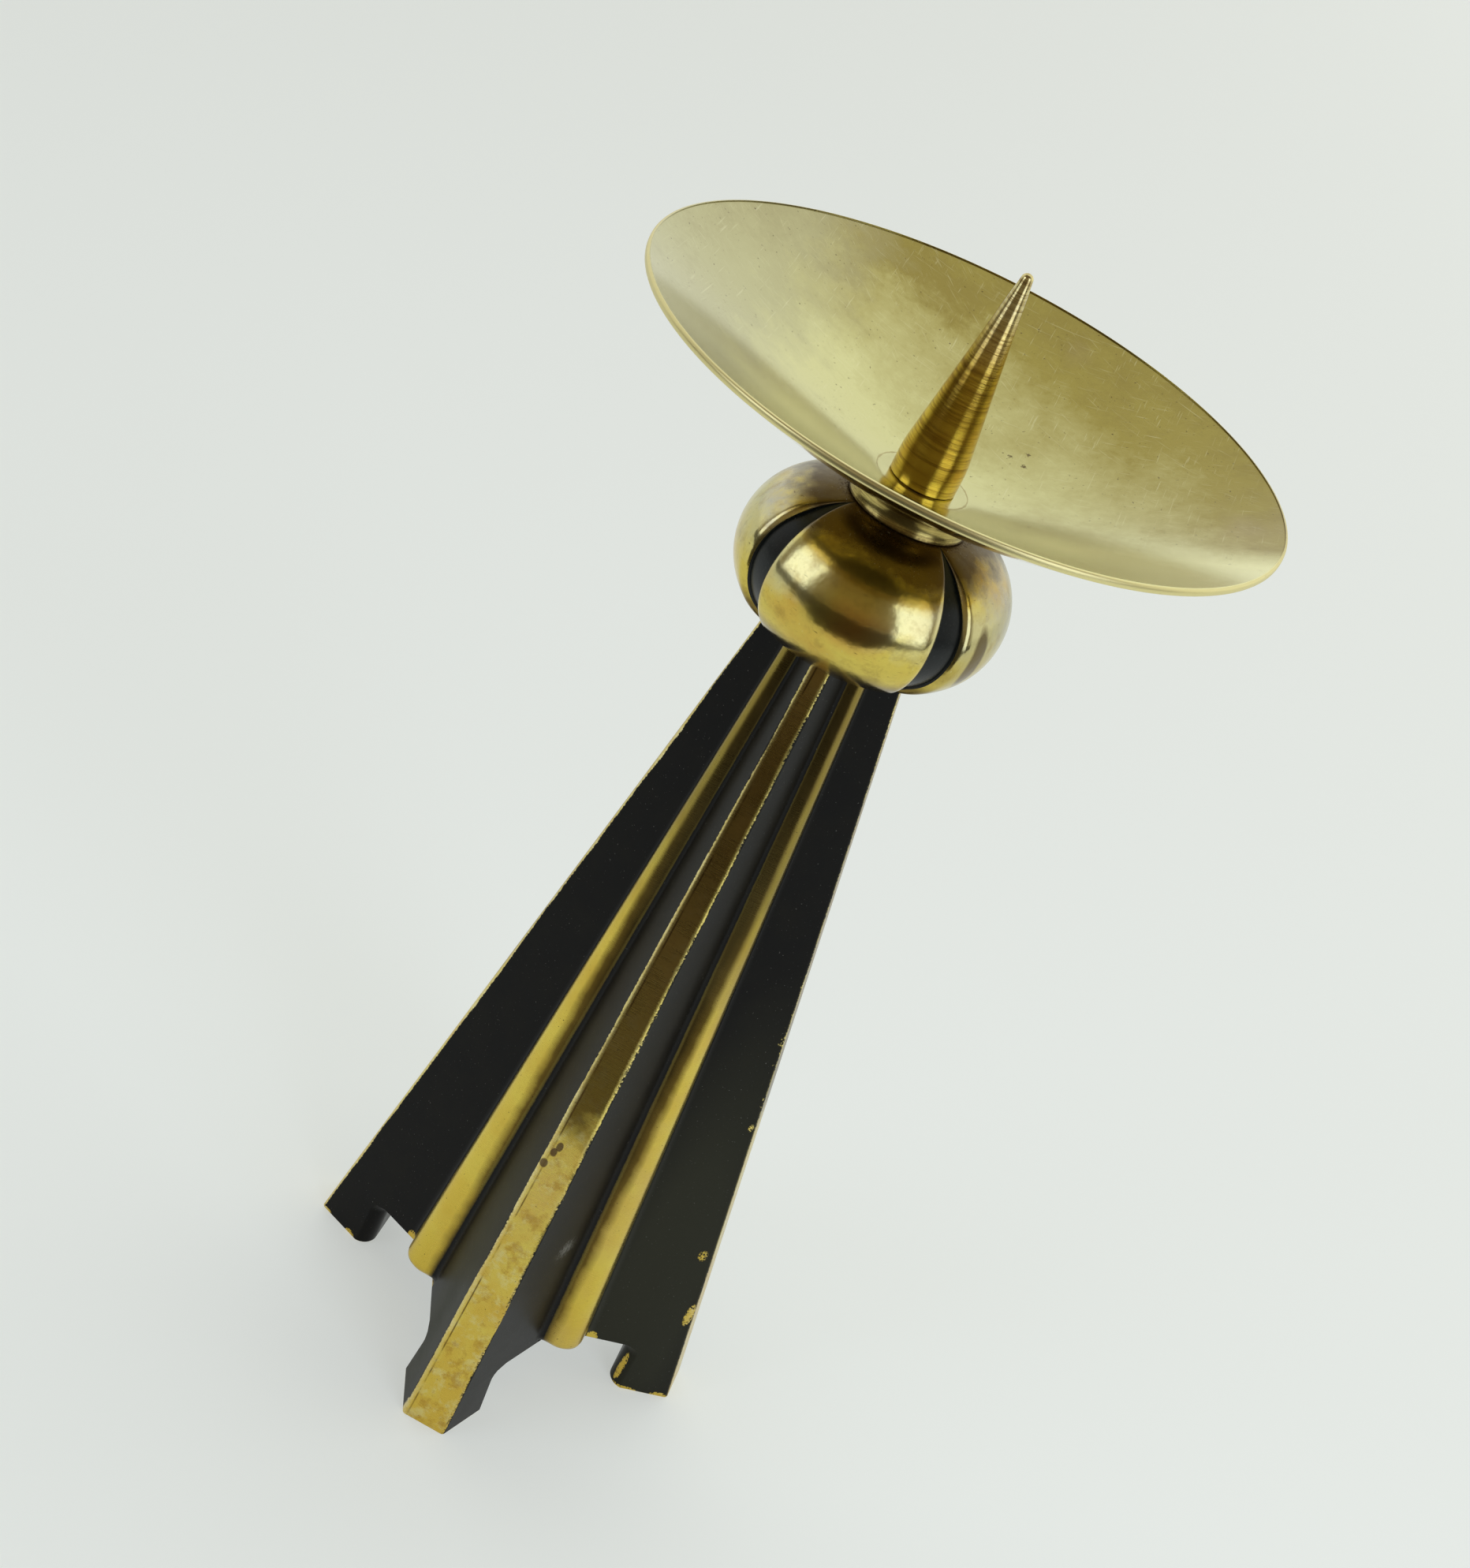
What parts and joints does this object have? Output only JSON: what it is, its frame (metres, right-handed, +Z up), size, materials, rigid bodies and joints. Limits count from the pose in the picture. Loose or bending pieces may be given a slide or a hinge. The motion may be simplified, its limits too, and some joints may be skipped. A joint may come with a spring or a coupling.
{
  "type": "candle holder",
  "caption": "Pricket candle holder: a tapering finned column on feet carries a lobed knop, a collar, a round drip pan and a turned spike for one candle.",
  "frame": {"origin": "on the floor under the middle of the column", "axes": "+Z up along the column and the spike; one fin points along each of +X, -X, +Y and -Y"},
  "size_m": [0.1, 0.1, 0.2203],
  "materials": {
    "column": "cast brass with a worn black patina, polished on the ribs and the fins' edges",
    "knop": "polished aged brass with blackened grooves",
    "collar": "turned and polished brass",
    "drip_pan": "spun brass, polished and lightly tarnished",
    "spike": "turned brass with fine tool lines",
    "rod_steel": "plain zinc plated steel"
  },
  "bodies": {
    "stand": {"column": "column", "knop": "knop", "collar": "collar", "tie_rod": "rod_steel", "rod_washer": "rod_steel", "rod_nut": "rod_steel"},
    "pan": {"drip_pan": "drip_pan"},
    "spike": {"spike": "spike"}
  },
  "joints": [
    {"name": "pan_turn", "type": "hinge", "parent": "stand", "child": "pan", "pos_m": [0, 0, 0.1856], "axis": [0, 0, 1], "continuous": true},
    {"name": "spike_unscrew", "type": "slide", "parent": "stand", "child": "spike", "axis": [0, 0, 1], "range_m": [0, 0.011]}
  ]
}
